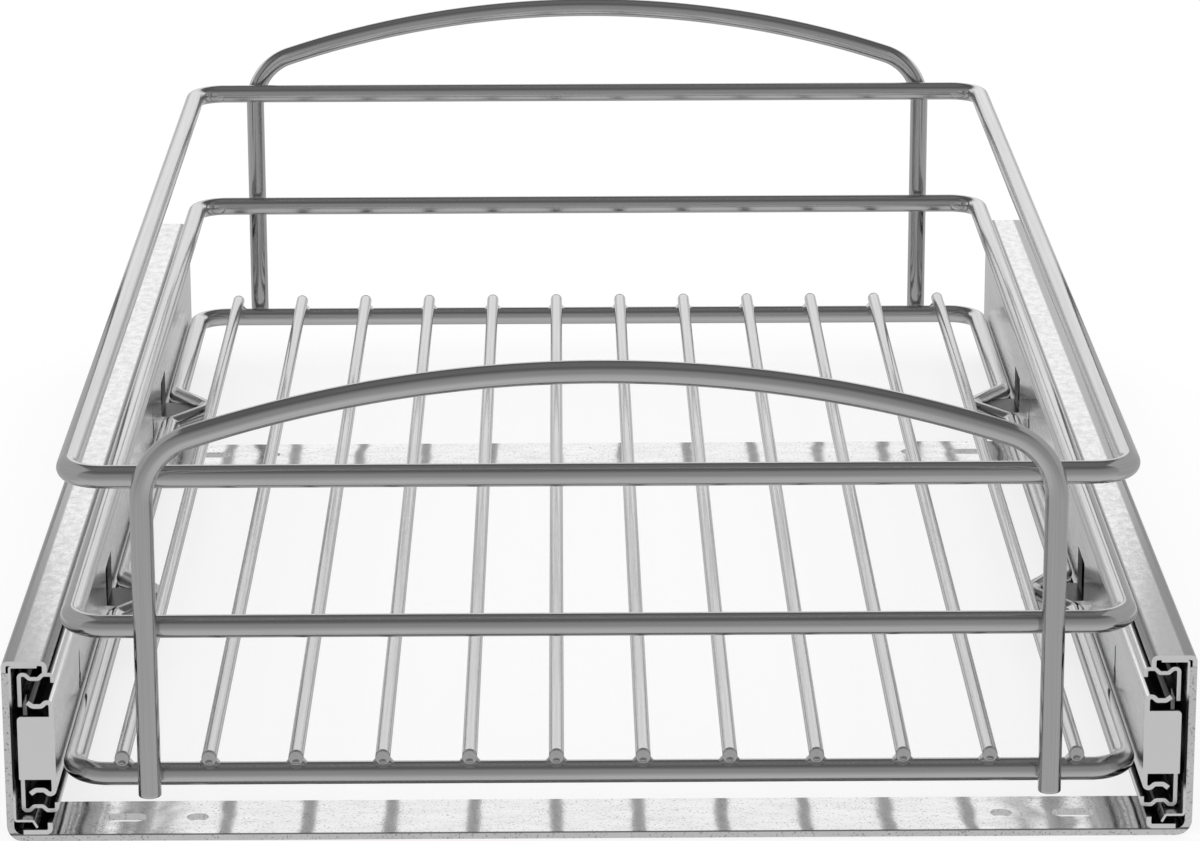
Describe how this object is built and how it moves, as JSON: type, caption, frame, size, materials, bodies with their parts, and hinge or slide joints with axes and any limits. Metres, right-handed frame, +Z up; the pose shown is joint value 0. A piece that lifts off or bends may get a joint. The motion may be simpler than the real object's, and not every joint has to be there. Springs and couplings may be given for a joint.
{
  "type": "pull-out cabinet basket",
  "caption": "Chromed wire basket with bow handles on two full-extension ball-bearing slides, tied by crossbars that screw to a cabinet floor and pulling straight out to the front.",
  "frame": {"origin": "middle of the overall box at the undersides of the crossbars, below the middle of the basket", "axes": "+Z up, front towards -Y, so the basket pulls out along -Y, +X to the right seen from the front"},
  "size_m": [0.296, 0.4578, 0.124],
  "materials": {
    "wire_chrome": "polished chrome plating",
    "crossbar_chrome": "bright chrome plating",
    "rail_plating": "bright zinc plating",
    "clip_spring_steel": "spring steel",
    "cage_steel": "pressed steel",
    "bearing_balls": "polished steel"
  },
  "bodies": {
    "frame": {"front_crossbar": "crossbar_chrome", "rear_crossbar": "crossbar_chrome", "left_outer_rail": "rail_plating", "left_front_clip": "clip_spring_steel", "right_outer_rail": "rail_plating", "right_front_clip": "clip_spring_steel"},
    "basket": {"top_ring": "wire_chrome", "middle_ring": "wire_chrome", "bottom_ring": "wire_chrome", "front_bow_handle": "wire_chrome", "rear_bow_handle": "wire_chrome", "floor_wire_1": "wire_chrome", "floor_wire_2": "wire_chrome", "floor_wire_3": "wire_chrome", "floor_wire_4": "wire_chrome", "floor_wire_5": "wire_chrome", "floor_wire_6": "wire_chrome", "floor_wire_7": "wire_chrome", "floor_wire_8": "wire_chrome", "floor_wire_9": "wire_chrome", "floor_wire_10": "wire_chrome", "floor_wire_11": "wire_chrome", "floor_wire_12": "wire_chrome", "left_inner_rail": "rail_plating", "right_inner_rail": "rail_plating"},
    "left_middle": {"left_middle_rail": "rail_plating"},
    "left_outer_cage": {"left_outer_ball_cage": "cage_steel", "left_outer_balls": "bearing_balls"},
    "left_inner_cage": {"left_inner_ball_cage": "cage_steel", "left_inner_balls": "bearing_balls"},
    "right_middle": {"right_middle_rail": "rail_plating"},
    "right_outer_cage": {"right_outer_ball_cage": "cage_steel", "right_outer_balls": "bearing_balls"},
    "right_inner_cage": {"right_inner_ball_cage": "cage_steel", "right_inner_balls": "bearing_balls"}
  },
  "joints": [
    {"name": "basket_slide", "type": "slide", "parent": "frame", "child": "basket", "axis": [0, -1, 0], "range_m": [0, 0.45]},
    {"name": "left_middle_slide", "type": "slide", "parent": "frame", "child": "left_middle", "axis": [0, -1, 0], "range_m": [0, 0.225]},
    {"name": "left_outer_cage_slide", "type": "slide", "parent": "frame", "child": "left_outer_cage", "axis": [0, -1, 0], "range_m": [0, 0.1125]},
    {"name": "left_inner_cage_slide", "type": "slide", "parent": "frame", "child": "left_inner_cage", "axis": [0, -1, 0], "range_m": [0, 0.3375]},
    {"name": "right_middle_slide", "type": "slide", "parent": "frame", "child": "right_middle", "axis": [0, -1, 0], "range_m": [0, 0.225]},
    {"name": "right_outer_cage_slide", "type": "slide", "parent": "frame", "child": "right_outer_cage", "axis": [0, -1, 0], "range_m": [0, 0.1125]},
    {"name": "right_inner_cage_slide", "type": "slide", "parent": "frame", "child": "right_inner_cage", "axis": [0, -1, 0], "range_m": [0, 0.3375]}
  ],
  "couplings": [
    {"joint": "left_middle_slide", "follows": "basket_slide", "ratio": 0.5},
    {"joint": "left_outer_cage_slide", "follows": "basket_slide", "ratio": 0.25},
    {"joint": "left_inner_cage_slide", "follows": "basket_slide", "ratio": 0.75},
    {"joint": "right_middle_slide", "follows": "basket_slide", "ratio": 0.5},
    {"joint": "right_outer_cage_slide", "follows": "basket_slide", "ratio": 0.25},
    {"joint": "right_inner_cage_slide", "follows": "basket_slide", "ratio": 0.75}
  ]
}
